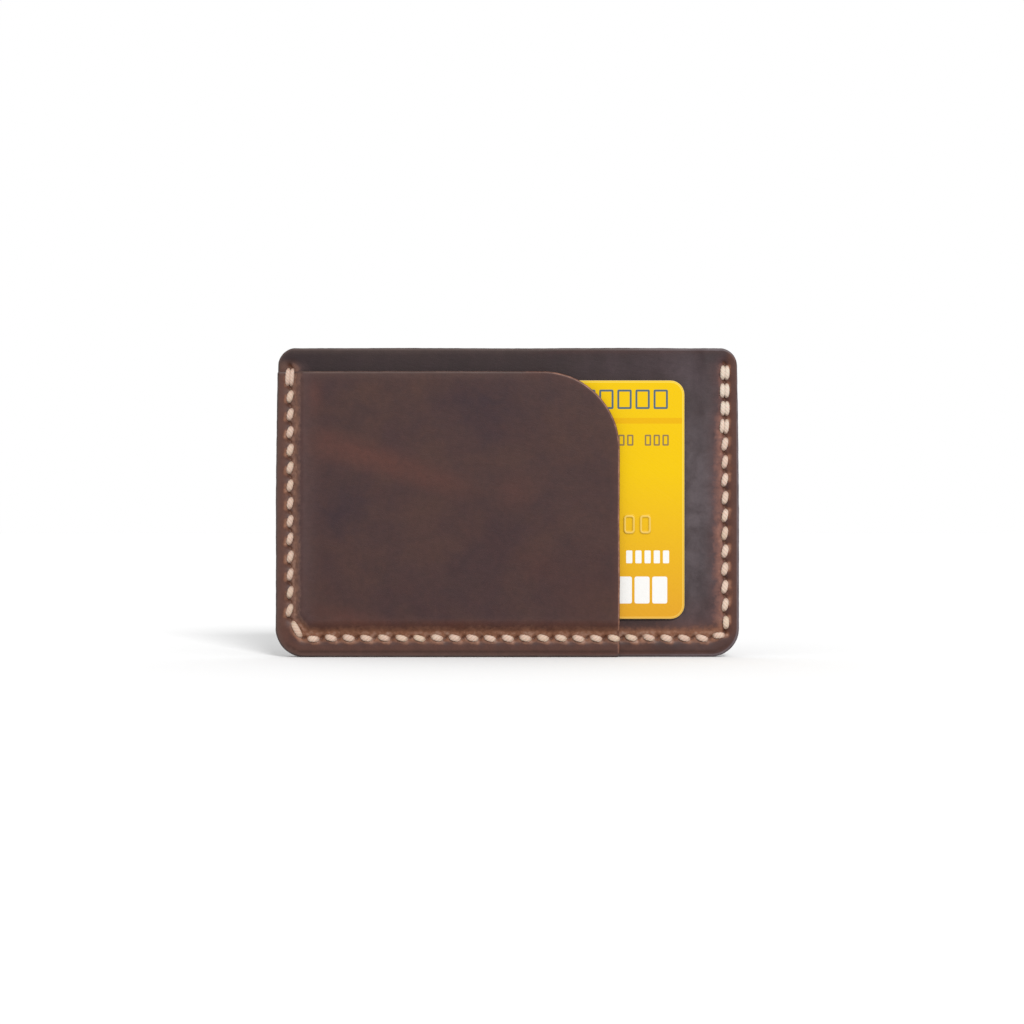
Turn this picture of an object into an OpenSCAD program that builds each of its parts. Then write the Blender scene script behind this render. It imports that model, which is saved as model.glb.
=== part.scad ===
// Saddle-stitched leather card wallet: three leather panels, one seam thread and the card it carries.
// The wallet stands on its long bottom edge. +X runs along the card, +Z up to the pocket mouths,
// and -Y is the front, where the thumb corner shows the card. Millimetres.

/* [Leather panels] */
// Width of the wallet, along the card
wallet_w = 105; // [103:0.5:112]
// Height from the bottom edge to the main pocket's mouth
wallet_h = 70; // [69:0.5:80]
// Thickness of each leather panel
leather_t = 1.4; // [1:0.1:1.8]
// Radius of the two top corners
top_r = 4; // [2:0.5:8]
// Radius of the two bottom corners
bottom_r = 6.5; // [3:0.5:8]
// Room between two panels where a card goes
pocket_gap = 1.4; // [1.4:0.1:2]

/* [Front pocket] */
// Width of the front pocket panel, from the wallet's left edge
pocket_w = 77.8; // [70:0.1:80]
// Height of the front pocket's mouth
pocket_h = 64.6; // [62:0.1:66]
// Radius of the thumb corner
thumb_r = 17.5; // [8:0.5:25]

/* [Seam] */
// Distance of the side rows from the wallet's edge
side_inset = 3.3; // [3:0.1:4]
// Height of the bottom row
bottom_inset = 4.4; // [4:0.1:5]
// Stitches in the left row, below the one that climbs over the pocket's edge
left_stitches = 13; // [10:1:16]
// Stitches in the bottom row
bottom_stitches = 23; // [18:1:28]
// Stitches in the right row
right_stitches = 15; // [12:1:18]
// Right stitches, from the top, that are sewn twice to lock the thread
locked_stitches = 4; // [2:1:6]
// Radius of a thread hole
hole_r = 0.45; // [0.42:0.01:0.5]
// Width of a stitch on the surface
stitch_w = 1.1; // [0.8:0.1:1.2]
// Height of a stitch above the leather
stitch_h = 0.45; // [0.3:0.05:0.6]

/* [Card] */
// Length of the card
card_w = 85.6; // [85.47:0.01:85.72]
// Height of the card
card_h = 53.98; // [53.92:0.01:54.03]
// Thickness of the card
card_t = 0.76; // [0.68:0.01:0.84]
// Distance from the wallet's left edge to the card
card_left = 6.9; // [6.8:0.1:8]
// Height of the card's lower edge where it rests in the pocket
card_low = 8.6; // [8.5:0.1:10]
// Height of the embossed marks
emboss_h = 0.35; // [0.2:0.05:0.4]

/* [Hidden] */
$fn = 48;
beyond = 20;                                    // how far a cutting shape runs past what it cuts

// Where the surfaces lie, front to back
centre_front = -leather_t / 2;
centre_back = leather_t / 2;
seam_front = centre_front - leather_t;          // outside of the front panel at the seam
seam_back = centre_back + leather_t;            // outside of the back panel at the seam

// The pressed step between a seam margin and the pocket that stands clear of it, as the
// distances of its foot and its top
step_side = [4.5, 6.6];                         // from the wallet's side edge
step_low = [5.6, 8.3];                          // from the bottom edge
step_corner = [1.4, 3.5];                       // from the stitch that cuts the corner

// Thread holes as [x, z], from the left row's top, along the bottom, to the right row's top
side_x = wallet_w / 2 - side_inset;
bottom_x = side_x - 3.2;
over_edge = 1.1;                                // first hole's height above the pocket's edge
left_top_z = pocket_h + over_edge;
left_next_z = left_top_z - 4.8;
left_low_z = 8.6;
right_low_z = 5.7;
right_top_z = wallet_h - 3.6;
left_pitch = (left_next_z - left_low_z) / left_stitches;
bottom_pitch = 2 * bottom_x / bottom_stitches;
right_pitch = (right_top_z - right_low_z) / right_stitches;
HOLES = concat(
    [[-side_x, left_top_z]],
    [for (i = [0 : left_stitches]) [-side_x, left_next_z - i * left_pitch]],
    [for (i = [0 : bottom_stitches]) [-bottom_x + i * bottom_pitch, bottom_inset]],
    [for (i = [0 : right_stitches]) [side_x, right_low_z + i * right_pitch]]);
LAST = len(HOLES) - 1;
thread_r = hole_r - 0.05;
lean = 0.2;                                     // how far a stitch's ends stray from the row
pocket_right = pocket_w - wallet_w / 2;

// The card's faces and its parts, measured on the card from its lower left corner
card_clear = 0.16;
card_back = centre_front - card_clear;
card_front = card_back - card_t;
card_r = 3.18;
chip_at = [15.1, 30.1];
chip_size = [13, 11.8];
chip_r = 1.6;
contact_t = 0.2;
potting_size = [8, 7.4];
potting_t = 0.4;
stripe_low = 38;
stripe_size = 10.4;
film_t = 0.05;
signature_low = 25.5;
signature_size = [62, 8.5];
mark_size = [2.5, 4.2];
mark_line = 0.5;
mark_pitch = 3.63;
mark_first = 11.4;
mark_low = 19.3;
marks_in_group = 4;

// A flat sheet of a 2D outline in X and Z, with its front face at y and its back face at y + t.
module sheet(y, t) {
    translate([0, y + t, 0]) rotate([90, 0, 0]) linear_extrude(t) children();
}

// Rectangle with its lower left corner at the origin and true arcs at its corners.
module rounded(size, r) {
    translate([r, 0]) square([size[0] - 2 * r, size[1]]);
    translate([0, r]) square([size[0], size[1] - 2 * r]);
    for (x = [r, size[0] - r], y = [r, size[1] - r]) translate([x, y]) circle(r);
}

// Outline shared by the centre and back panels.
module wallet_outline() {
    half = wallet_w / 2;
    translate([-half, bottom_r]) square([wallet_w, wallet_h - bottom_r - top_r]);
    translate([-half + bottom_r, 0]) square([wallet_w - 2 * bottom_r, wallet_h - top_r]);
    translate([-half + top_r, bottom_r]) square([wallet_w - 2 * top_r, wallet_h - bottom_r]);
    for (side = [-1, 1]) {
        translate([side * (half - bottom_r), bottom_r]) circle(bottom_r);
        translate([side * (half - top_r), wallet_h - top_r]) circle(top_r);
    }
}

// Outline of the front pocket: the wallet's lower left, cut with a round thumb corner.
module pocket_outline() {
    half = wallet_w / 2;
    translate([-half + bottom_r, 0]) square([pocket_w - bottom_r, pocket_h - thumb_r]);
    translate([-half, bottom_r]) square([pocket_w - thumb_r, pocket_h - bottom_r]);
    translate([-half + bottom_r, bottom_r]) circle(bottom_r);
    translate([pocket_right - thumb_r, pocket_h - thumb_r]) circle(thumb_r);
}

// One sloping side of a pressed pocket, for intersecting with the others. The pocket lies beyond
// it, in the direction toward, in degrees from +X to +Z, and step is its distances from at.
module slope_side(at, toward, step, depth, out) {
    far = 2 * wallet_w;
    translate([at[0], 0, at[1]]) rotate([0, -toward, 0]) translate([0, 0, -far]) linear_extrude(2 * far)
        polygon([[step[0], -out], [step[0], 0], [step[1], depth * out], [far, depth * out], [far, -out]]);
}

// The space that a pressed pocket stands clear of: a block with its feet on the plane y = 0,
// sloping in at the left, the bottom and the corner, and at the right too if both is set. Its
// slopes lie further out by more, and out says which way it stands, -1 for the front and 1 for
// the back.
module pressed_block(depth, out, both, more) {
    wider = [more, more];
    corner_toward = atan2(side_x - bottom_x, left_low_z - bottom_inset);
    intersection() {
        slope_side([0, 0], 90, step_low - wider, depth, out);
        slope_side([-wallet_w / 2, 0], 0, step_side - wider, depth, out);
        slope_side([-side_x, left_low_z], corner_toward, step_corner - wider, depth, out);
        if (both) slope_side([wallet_w / 2, 0], 180, step_side - wider, depth, out);
        if (both) slope_side([side_x, left_low_z], 180 - corner_toward, step_corner - wider, depth, out);
    }
}

// How far the outer slope lies outside the inner one, so that the leather keeps its thickness.
function slope_shift() = leather_t * tan(atan(pocket_gap / (step_side[1] - step_side[0])) / 2);

// The awl's holes, through every layer.
module thread_holes() {
    for (hole = HOLES)
        translate([hole[0], beyond / 2, hole[1]]) rotate([90, 0, 0]) cylinder(h = beyond, r = hole_r);
}

// A pressed panel: flat margins at the seam and a raised pocket, open at the top.
// inner is the seam face's y, and children give the outline.
module pressed_panel(inner, out, both) {
    outer = inner + out * leather_t;
    difference() {
        union() {
            sheet(min(inner, outer), leather_t) children();
            intersection() {
                sheet(min(outer, outer + out * pocket_gap), pocket_gap) children();
                translate([0, outer, 0]) pressed_block(pocket_gap, out, both, slope_shift());
            }
        }
        translate([0, inner, 0]) pressed_block(pocket_gap, out, both, 0);
        thread_holes();
    }
}

module front_pocket_panel() {
    color("#503d3b") pressed_panel(centre_front, -1, false) pocket_outline();
}

module centre_panel() {
    color("#5c5053") difference() {
        sheet(centre_front, leather_t) wallet_outline();
        thread_holes();
    }
}

module back_panel() {
    color("#503d3b") pressed_panel(centre_back, 1, true) wallet_outline();
}

function on_pocket(hole) = hole[0] < pocket_right && hole[1] < pocket_h;

// Height of stitch i on the front: on the pocket panel if either of its holes goes through it.
function front_y(i) = on_pocket(HOLES[i]) || on_pocket(HOLES[i + 1]) ? seam_front : centre_front;

// The frontmost stitch that meets at hole i.
function pin_y(i) = min(front_y(max(i - 1, 0)), front_y(min(i, LAST - 1)));

function is_locked(i) = i == 0 || i >= LAST - locked_stitches;

// One stitch on a face whose surface is at y, leaning across the row of its two holes, one way
// on the front and the other on the back.
module stitch(i, y, out, wide, high) {
    a = HOLES[i];
    run = HOLES[i + 1] - a;
    turn = atan2(run[1], run[0]) + out * atan2(2 * lean, norm(run));
    middle = a + run / 2;
    translate([middle[0], out < 0 ? y : y + high, middle[1]]) rotate([90, 0, 0]) rotate(turn)
        translate([-norm(run) / 2, -wide / 2, 0]) cube([norm(run), wide, high]);
}

module seam_thread() {
    color("#dcbfac") union() {
        for (i = [0 : LAST]) {
            pin_front = pin_y(i) - stitch_h / 2;
            translate([HOLES[i][0], seam_back + stitch_h / 2, HOLES[i][1]]) rotate([90, 0, 0])
                cylinder(h = seam_back + stitch_h / 2 - pin_front, r = thread_r);
        }
        for (i = [0 : LAST - 1]) {
            more = is_locked(i) ? 1.2 : 1;
            stitch(i, front_y(i), -1, stitch_w * more, stitch_h * more);
            stitch(i, seam_back, 1, stitch_w, stitch_h);
        }
    }
}

// Places a shape drawn on the card's face, with its lower left corner at the card's.
module on_card(at) {
    translate([card_left - wallet_w / 2 + at[0], 0, card_low + at[1]]) children();
}

// A blank embossed mark, where a card has its number.
module emboss_mark() {
    difference() {
        square(mark_size);
        translate([mark_line, mark_line]) square(mark_size - 2 * [mark_line, mark_line]);
    }
}

module card_body() {
    group_pitch = (marks_in_group + 1) * mark_pitch;
    color("#f7ca1c") difference() {
        union() {
            on_card([0, 0]) sheet(card_front, card_t) rounded([card_w, card_h], card_r);
            for (group = [0 : 3], i = [0 : marks_in_group - 1])
                on_card([mark_first + group * group_pitch + i * mark_pitch - mark_size[0] / 2, mark_low])
                    sheet(card_front - emboss_h, emboss_h + card_t / 2) emboss_mark();
        }
        on_card(chip_at - chip_size / 2) sheet(card_front - beyond, beyond + contact_t)
            rounded(chip_size, chip_r);
        on_card(chip_at - potting_size / 2)
            sheet(card_front, contact_t + potting_t) square(potting_size);
    }
}

module card_chip_contacts() {
    color("#d9b45a") on_card(chip_at - chip_size / 2) sheet(card_front, contact_t)
        rounded(chip_size, chip_r);
}

module card_chip_potting() {
    color("#1c1c1e") on_card(chip_at - potting_size / 2)
        sheet(card_front + contact_t, potting_t) square(potting_size);
}

module card_magnetic_stripe() {
    color("#1b1a1d") on_card([0, stripe_low]) sheet(card_back, film_t) square([card_w, stripe_size]);
}

module card_signature_panel() {
    color("#eceae2") on_card([7, signature_low]) sheet(card_back, film_t) square(signature_size);
}

front_pocket_panel();
centre_panel();
back_panel();
seam_thread();
card_body();
card_chip_contacts();
card_chip_potting();
card_magnetic_stripe();
card_signature_panel();
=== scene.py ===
"""Looks of a saddle-stitched leather card wallet and the card in it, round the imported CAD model.

Lengths are in millimetres in the model's own frame: +X along the card, -Y the front, +Z up. They
become metres where a mesh, a light or the camera is made.
"""
import math

import bpy
import numpy as np
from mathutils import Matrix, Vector, geometry


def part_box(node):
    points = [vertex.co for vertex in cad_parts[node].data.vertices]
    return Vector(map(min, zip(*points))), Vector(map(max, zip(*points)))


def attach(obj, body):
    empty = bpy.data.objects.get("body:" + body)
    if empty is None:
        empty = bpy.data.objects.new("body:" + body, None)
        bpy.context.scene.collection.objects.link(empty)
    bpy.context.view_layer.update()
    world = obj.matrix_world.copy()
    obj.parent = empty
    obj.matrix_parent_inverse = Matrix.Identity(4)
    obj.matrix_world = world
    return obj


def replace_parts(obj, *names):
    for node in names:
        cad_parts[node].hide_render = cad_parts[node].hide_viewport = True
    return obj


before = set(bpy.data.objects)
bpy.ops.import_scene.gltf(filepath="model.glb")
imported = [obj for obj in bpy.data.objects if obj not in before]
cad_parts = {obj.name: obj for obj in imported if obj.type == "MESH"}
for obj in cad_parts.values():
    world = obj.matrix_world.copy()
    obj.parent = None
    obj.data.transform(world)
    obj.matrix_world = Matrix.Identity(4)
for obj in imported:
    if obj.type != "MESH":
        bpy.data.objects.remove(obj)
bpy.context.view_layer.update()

MM = 0.001


def box_mm(node):
    """Lowest and highest corner of a CAD node at rest."""
    return [np.array(corner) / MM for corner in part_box(node)]


WALLET_LOW, WALLET_HIGH = box_mm("centre_panel")
POCKET_LOW, POCKET_HIGH = box_mm("front_pocket_panel")
CARD_LOW, CARD_HIGH = box_mm("card_body")
CHIP_LOW, CHIP_HIGH = box_mm("card_chip_contacts")
STRIPE_LOW, STRIPE_HIGH = box_mm("card_magnetic_stripe")
SIGNATURE_LOW, SIGNATURE_HIGH = box_mm("card_signature_panel")

# The leather, front to back
LEATHER_T = WALLET_HIGH[1] - WALLET_LOW[1]
CENTRE_FRONT, CENTRE_BACK = WALLET_LOW[1], WALLET_HIGH[1]
SEAM_FRONT = CENTRE_FRONT - LEATHER_T
SEAM_BACK = CENTRE_BACK + LEATHER_T
POCKET_GAP = SEAM_FRONT - POCKET_LOW[1]
TOP_R = 4.0
BOTTOM_R = 6.5
THUMB_R = 17.5
SMALL_R = 0.7
EDGE_MARGIN = 0.7    # how far in from its edge a panel's face begins
GRAIN_R, POCKET_GRAIN_R, FLESH_R = 0.42, 0.38, 0.15  # the rounding of a panel's edges
MOUTH_TAPER = 0.5    # how much narrower the wallet is at each side of its mouth
PUFF = 0.32          # how far the centre panel stands out between the card and the seam

# How far apart a leather panel's points are near the seam, and how far from it they are twice and
# four times as far apart
LEATHER_SPACING = 0.3
NEAR, FAR = 1.9, 5.5

# The pressed step between a seam margin and the pocket: its foot's and its top's distances from the
# side edges, from the bottom edge and from the stitch that cuts the corner
STEP_SIDE = (4.5, 6.6)
STEP_LOW = (5.6, 8.3)
STEP_CORNER = (1.4, 3.5)
STEP_SHIFT = LEATHER_T * math.tan(math.atan(POCKET_GAP / (STEP_SIDE[1] - STEP_SIDE[0])) / 2)

# The rows of holes
SIDE_X = WALLET_HIGH[0] - 3.3
BOTTOM_X = SIDE_X - 3.2
BOTTOM_Z = 4.4
LEFT_TOP_Z = POCKET_HIGH[2] + 1.1
LEFT_NEXT_Z = LEFT_TOP_Z - 4.8
LEFT_LOW_Z = 8.6
RIGHT_LOW_Z = 5.7
RIGHT_TOP_Z = WALLET_HIGH[2] - 3.6
LEFT_STITCHES, BOTTOM_STITCHES, RIGHT_STITCHES = 13, 23, 15
LOCKED_STITCHES = 4
SLIT_ANGLE = math.radians(40)
SLIT_HALF = 0.3      # half the length of an awl's slit
GROOVE, DIMPLE, SLIT = 0.2, 0.2, 0.4  # how deep the leather is under the row, round a hole and in it

# The thread
STRANDS = 3
TWIST = 1.35         # lays of strands in a millimetre of thread
THREAD_WIDE = 1.42
THREAD_ANGLE = math.radians(18)
THREAD_REACH = 0.92  # from a hole's middle to where its stitch rises
RIGHT_REACH = 0.8    # the same in the right row
THREAD_SUNK = 0.12   # how far a stitch is pressed into the leather
THREAD_DIVE = 0.85   # how deep its ends go
BOTTOM_SAG = 0.12    # how much lower than its holes a stitch of the bottom row lies

# The thread where a stitch is sewn twice
LOCKED_WIDE = 1.12
LOCKED_APART = 0.48  # from the stitch's middle line to each of its two threads
LOCKED_ANGLE = math.radians(3)
LOCKED_REACH = 0.62

# The card
CARD_T = 0.76
CARD_R = 3.18
CARD_BACK = CARD_HIGH[1]
CARD_FRONT = CARD_BACK - CARD_T
EMBOSS_H = CARD_FRONT - CARD_LOW[1]


# ---- shapes in X and Z

def unit(vectors):
    return vectors / np.linalg.norm(vectors, axis=-1, keepdims=True)


class RoundedRect:
    """A rectangle with its own radius at each corner: lower left, lower right, upper right, upper left."""

    def __init__(self, low, high, radii):
        self.low = np.array(low, float)
        self.high = np.array(high, float)
        self.radii = np.broadcast_to(np.array(radii, float), 4)

    def grown(self, by):
        """The same shape with its edge moved outward."""
        return RoundedRect(self.low - by, self.high + by, np.maximum(self.radii + by, 0.02))

    def ring(self, step):
        """Points along the edge and the normals there, counter-clockwise as seen from the front."""
        (x0, z0), (x1, z1) = self.low, self.high
        corners = np.array([[x0, z0], [x1, z0], [x1, z1], [x0, z1]])
        points, normals = [], []
        for i, radius in enumerate(self.radii):
            after = (i + 1) % 4
            to_last = unit(corners[i - 1] - corners[i])
            to_next = unit(corners[after] - corners[i])
            turns = max(3, math.ceil(radius * math.pi / 2 / step) + 1)
            angle = np.linspace(0, math.pi / 2, turns)[:, None]
            normal = -to_next * np.cos(angle) - to_last * np.sin(angle)
            arc = corners[i] + radius * (to_last + to_next) + radius * normal
            points.append(arc)
            normals.append(normal)
            length = np.linalg.norm(corners[after] - corners[i]) - radius - self.radii[after]
            count = math.ceil(length / step)
            if count > 1:
                share = np.arange(1, count)[:, None] / count
                points.append(arc[-1] + to_next * length * share)
                normals.append(np.repeat(normal[-1:], count - 1, 0))
        return np.concatenate(points), np.concatenate(normals)

    def inset(self, x, z):
        """How far inside the edge each point lies, negative outside it."""
        middle = (self.low + self.high) / 2
        half = (self.high - self.low) / 2
        lower = np.where(x > middle[0], self.radii[1], self.radii[0])
        upper = np.where(x > middle[0], self.radii[2], self.radii[3])
        radius = np.where(z > middle[1], upper, lower)
        across = np.abs(x - middle[0]) - half[0] + radius
        along = np.abs(z - middle[1]) - half[1] + radius
        outside = np.hypot(np.maximum(across, 0), np.maximum(along, 0))
        return radius - outside - np.minimum(np.maximum(across, along), 0)


def ripple(x, z, size, seed, waves=9):
    """Smooth waves of about the given size, from -1 to 1, the same for the same seed."""
    rng = np.random.default_rng(seed)
    total = np.zeros(np.shape(x))
    for _ in range(waves):
        angle, phase = rng.uniform(0, 2 * math.pi, 2)
        turn = 2 * math.pi / (size * rng.uniform(0.7, 1.5))
        total = total + np.sin(turn * (x * math.cos(angle) + z * math.sin(angle)) + phase)
    return np.clip(total / math.sqrt(waves) / 1.4, -1, 1)


def smooth(share):
    """Eases a share from 0 to 1, and clips it to that."""
    share = np.clip(share, 0, 1)
    return share * share * (3 - 2 * share)


def falloff(distance, reach):
    """1 at no distance, falling in a bell curve."""
    return np.exp(-(distance / reach) ** 2)


WALLET_SHAPE = RoundedRect(WALLET_LOW[[0, 2]], WALLET_HIGH[[0, 2]], (BOTTOM_R, BOTTOM_R, TOP_R, TOP_R))
# The wallet as if it went on past its mouth, so that only its sides and bottom are near an edge
MARGIN_SHAPE = RoundedRect(WALLET_SHAPE.low, WALLET_SHAPE.high + (0, 20), (BOTTOM_R, BOTTOM_R, TOP_R, TOP_R))
POCKET_SHAPE = RoundedRect(POCKET_LOW[[0, 2]], POCKET_HIGH[[0, 2]], (BOTTOM_R, SMALL_R, THUMB_R, SMALL_R))
CARD_SHAPE = RoundedRect(CARD_LOW[[0, 2]], CARD_HIGH[[0, 2]], CARD_R)


# ---- the seam's path

def seam_holes():
    """The awl's holes as (x, z), down the left side, along the bottom and up the right side."""
    left = np.linspace(LEFT_NEXT_Z, LEFT_LOW_Z, LEFT_STITCHES + 1)
    bottom = np.linspace(-BOTTOM_X, BOTTOM_X, BOTTOM_STITCHES + 1)
    right = np.linspace(RIGHT_LOW_Z, RIGHT_TOP_Z, RIGHT_STITCHES + 1)
    return np.array([(-SIDE_X, LEFT_TOP_Z)] + [(-SIDE_X, z) for z in left]
                    + [(x, BOTTOM_Z) for x in bottom] + [(SIDE_X, z) for z in right])


HOLES = seam_holes()


def is_locked(index):
    """True for a stitch that is sewn twice: the first one and the last few."""
    return index == 0 or index >= len(HOLES) - 1 - LOCKED_STITCHES


def slanted(angle, out, locked_angle):
    """A direction at each hole, slanted from the way that the seam runs. It is mirrored on the back,
    so that the stitches look alike on both sides."""
    last = len(HOLES) - 1
    locked = [is_locked(max(i - 1, 0)) and is_locked(min(i, last - 1)) for i in range(last + 1)]
    angle = np.where(locked, locked_angle, angle)[:, None]
    runs = unit(np.diff(HOLES, axis=0))
    along = unit(np.vstack([runs[:1], runs[:-1] + runs[1:], runs[-1:]]))
    across = np.stack([-along[:, 1], along[:, 0]], 1)
    return along * np.cos(angle) - out * across * np.sin(angle)


SLITS = {out: slanted(SLIT_ANGLE, out, SLIT_ANGLE) for out in (-1, 1)}
LEANS = {out: slanted(THREAD_ANGLE, out, LOCKED_ANGLE) for out in (-1, 1)}


def stitch_ends(index, out):
    """Where stitch number index rises and where it goes in."""
    lean = LEANS[out]
    in_bottom_row = max(HOLES[index][1], HOLES[index + 1][1]) < BOTTOM_Z + 0.1
    sag = np.array([0.0, BOTTOM_SAG if in_bottom_row else 0.0])
    if is_locked(index):
        reach = LOCKED_REACH
    else:
        reach = RIGHT_REACH if HOLES[index + 1][0] > SIDE_X - 1 else THREAD_REACH
    return (HOLES[index] + reach * lean[index] - sag,
            HOLES[index + 1] - reach * lean[index + 1] - sag)


def segment_distance(x, z, start, end):
    """Distance from each point to a segment."""
    run = end - start
    share = ((x - start[0]) * run[0] + (z - start[1]) * run[1]) / (run @ run)
    share = np.clip(share, 0, 1)
    return np.hypot(x - start[0] - share * run[0], z - start[1] - share * run[1])


class SeamField:
    """Distances from a face's points to the row of stitches, to its holes and their slits, and to the
    light marks beside each stitch, on the sides and along the bottom."""

    def __init__(self, x, z, stitches, out):
        self.row, self.hole, self.slit, self.mark, self.low_mark = np.full((5, *np.shape(x)), 99.0)
        for i in stitches:
            start, end = stitch_ends(i, out)
            on_side = abs(HOLES[i + 1][0]) > SIDE_X - 1
            outward = np.array([np.sign(HOLES[i + 1][0]), 0.0]) if on_side else np.array([0.0, -1.0])
            self.row = np.minimum(self.row, segment_distance(x, z, HOLES[i], HOLES[i + 1]))
            # A light mark beside each stitch, toward the edge
            stitch_side_mark = segment_distance(x, z, end + 0.75 * outward, (start + end) / 2 + 0.85 * outward)
            if on_side:
                self.mark = np.minimum(self.mark, stitch_side_mark)
            else:
                self.low_mark = np.minimum(self.low_mark, stitch_side_mark)
        for i in sorted({j for k in stitches for j in (k, k + 1)}):
            self.hole = np.minimum(self.hole, np.hypot(x - HOLES[i][0], z - HOLES[i][1]))
            half = SLIT_HALF * SLITS[out][i]
            self.slit = np.minimum(self.slit, segment_distance(x, z, HOLES[i] - half, HOLES[i] + half))

    def depth(self):
        """How far the thread has drawn the leather in."""
        return (GROOVE * falloff(self.row, 1.0) + DIMPLE * falloff(self.hole, 1.2)
                + SLIT * falloff(self.slit, 0.38))

    def pull(self, x, z):
        """How much lighter the drawn leather is, from 0 to 1: a broad and a close band along the row,
        a band on its inner side that is partly pull-up lightening and partly a painted highlight of the
        slope there, and the light marks beside the stitches."""
        inner = smooth((WALLET_SHAPE.inset(x, z) - 2.8) / 1.6)
        low = smooth((9 - z) / 3)
        right = smooth((x - 35) / 8) * (1 - low)
        right_top = right * smooth((z - 50) / 8)
        broad = 0.06 + inner * (0.36 + 0.08 * right) + 0.08 * ripple(x, z, 9, 31)
        close = 0.28 + (0.18 - 0.1 * right) * inner + 0.16 * ripple(x, z, 5, 32)
        # A band on the row's inner side: partly the pull-up leather's lightening, partly a painted highlight
        # of the slope there
        crest_and_highlight = (1 - right) * inner * (0.12 + 0.12 * low + 0.08 * ripple(x, z, 4, 36))
        marks = 0.92 * falloff(self.mark, 0.46) + 0.62 * falloff(self.low_mark, 0.46)
        broad = broad * falloff(self.row, 3.2) * (1 - 0.4 * right_top)
        close = close * falloff(self.row, 1.4 + 0.3 * low + 0.6 * (right - right_top))
        crest_and_highlight = crest_and_highlight * falloff(self.row - 1.15, 0.4)
        return np.clip(broad + close + crest_and_highlight + marks * (0.75 + 0.4 * ripple(x, z, 7, 33)), 0, 1)


# Which stitches lie on each panel; the first one climbs from the centre panel to the front pocket
ALL_STITCHES = list(range(len(HOLES) - 1))
FRONT_STITCHES = [i for i in ALL_STITCHES if any(POCKET_SHAPE.inset(*HOLES[j]) > 0 for j in (i, i + 1))]
CENTRE_STITCHES = [i for i in ALL_STITCHES if i == 0 or i not in FRONT_STITCHES]


# ---- mesh building

def link(name, data):
    """A new object in the scene."""
    made = bpy.data.objects.new(name, data)
    bpy.context.scene.collection.objects.link(made)
    return made


def make_object(name, points, faces, materials, face_material=None):
    """A mesh object from points in millimetres, smooth shaded."""
    mesh = bpy.data.meshes.new(name)
    mesh.from_pydata((np.asarray(points) * MM).tolist(), [], [list(map(int, f)) for f in faces])
    for material in materials:
        mesh.materials.append(material)
    if face_material is not None:
        mesh.polygons.foreach_set("material_index", np.asarray(face_material, np.int32))
    mesh.polygons.foreach_set("use_smooth", np.ones(len(mesh.polygons), bool))
    mesh.update()
    return link(name, mesh)


def set_values(obj, **values):
    """Stores numbers for each point, by name, for the materials to read."""
    for name, numbers in values.items():
        attribute = obj.data.attributes.new(name, "FLOAT", "POINT")
        attribute.data.foreach_set("value", np.asarray(numbers, np.float32))


def lattice(shape, spacing, margin, zone):
    """Points that fill a shape. zone gives each point's level: 0 is the finest, and each next level
    is twice as coarse."""
    low, high = shape.low, shape.high
    columns = np.arange(1, int((high[0] - low[0]) / spacing))
    rows = np.arange(1, int((high[1] - low[1]) / spacing))
    i, j = [a.ravel() for a in np.meshgrid(columns, rows)]
    x, z = low[0] + i * spacing, low[1] + j * spacing
    stride = 2 ** zone(x, z)
    keep = (i % stride == 0) & (j % stride == 0)
    keep &= shape.inset(x, z) > margin + 0.55 * spacing * stride
    return np.stack([x[keep], z[keep]], 1)


def triangulate(boundary, inner, loops):
    """Triangles over a boundary, through the inner points and along the loops. Returns the points,
    the triangles and where each boundary point went."""
    points, edges = [], []
    for loop in (boundary, *loops):
        first = len(points)
        points += [Vector(p) for p in loop]
        edges += [(first + i, first + (i + 1) % len(loop)) for i in range(len(loop))]
    points += [Vector(p) for p in inner]
    out_points, _, triangles, sources, _, _ = geometry.delaunay_2d_cdt(points, edges, [], 1, 1e-6)
    made_at = {i: made for made, ids in enumerate(sources) for i in ids}
    place = np.array([made_at[i] for i in range(len(boundary))])
    flat = np.array([tuple(p) for p in out_points])
    triangles = np.array(triangles)
    a, b, c = (flat[triangles[:, k]] for k in range(3))
    turn = (b[:, 0] - a[:, 0]) * (c[:, 1] - a[:, 1]) - (b[:, 1] - a[:, 1]) * (c[:, 0] - a[:, 0])
    triangles[turn < 0] = triangles[turn < 0][:, ::-1]
    return flat, triangles, place


def level(y):
    """A flat face's y at each point, for slab()."""
    return lambda x, z: np.full(x.shape, y)


def edge_profile(thickness, front_r, back_r, steps=5):
    """(inset, depth) pairs round the edge, from its front to its back."""
    angle = np.linspace(0, math.pi / 2, steps)
    front = [(front_r * (1 - math.sin(a)), front_r * (1 - math.cos(a))) for a in angle]
    back = [(back_r * (1 - math.sin(a)), thickness - back_r * (1 - math.cos(a))) for a in angle[::-1]]
    middle = [(0.0, front_r + (thickness - front_r - back_r) * s) for s in (1 / 3, 2 / 3)]
    return front + middle + back


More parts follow.
